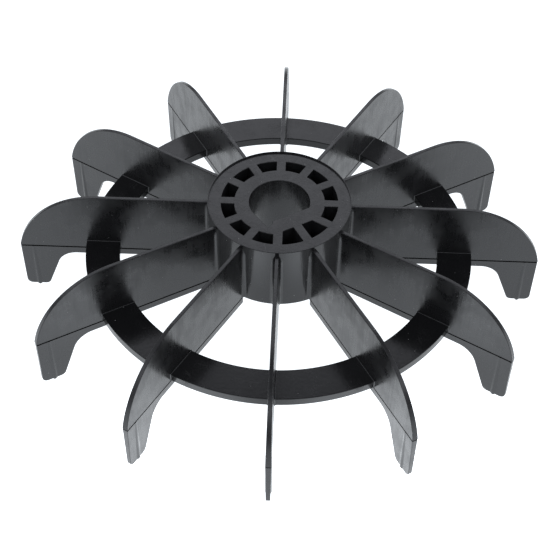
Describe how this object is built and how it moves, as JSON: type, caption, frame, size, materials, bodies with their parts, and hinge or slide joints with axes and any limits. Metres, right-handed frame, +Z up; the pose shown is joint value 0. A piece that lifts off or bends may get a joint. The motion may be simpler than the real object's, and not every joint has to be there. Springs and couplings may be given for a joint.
{
  "type": "flywheel fan",
  "caption": "Moulded plastic flywheel fan: tall hub with a D-shaped bore and cored face, straight radial blades joined by a flat ring, and a leg under each blade tip.",
  "frame": {"origin": "on the bore axis, in the plane of the twelve leg tips that the part stands on", "axes": "+Z up along the bore axis, from the leg tips towards the hub's face; one blade points along -Y"},
  "size_m": [0.224, 0.224, 0.0567],
  "materials": {
    "plastic": "satin black injection-moulded plastic with a fine grain"
  },
  "bodies": {
    "root": {"hub_face": "plastic", "hub_barrel": "plastic", "hub_ribs": "plastic", "bore_sleeve": "plastic", "hub_floor": "plastic", "support_ring": "plastic", "blade_01": "plastic", "blade_02": "plastic", "blade_03": "plastic", "blade_04": "plastic", "blade_05": "plastic", "blade_06": "plastic", "blade_07": "plastic", "blade_08": "plastic", "blade_09": "plastic", "blade_10": "plastic", "blade_11": "plastic", "blade_12": "plastic", "skirt_01": "plastic", "skirt_02": "plastic", "skirt_03": "plastic", "skirt_04": "plastic", "skirt_05": "plastic", "skirt_06": "plastic", "skirt_07": "plastic", "skirt_08": "plastic", "skirt_09": "plastic", "skirt_10": "plastic", "skirt_11": "plastic", "skirt_12": "plastic", "leg_01": "plastic", "leg_02": "plastic", "leg_03": "plastic", "leg_04": "plastic", "leg_05": "plastic", "leg_06": "plastic", "leg_07": "plastic", "leg_08": "plastic", "leg_09": "plastic", "leg_10": "plastic", "leg_11": "plastic", "leg_12": "plastic"}
  },
  "joints": []
}
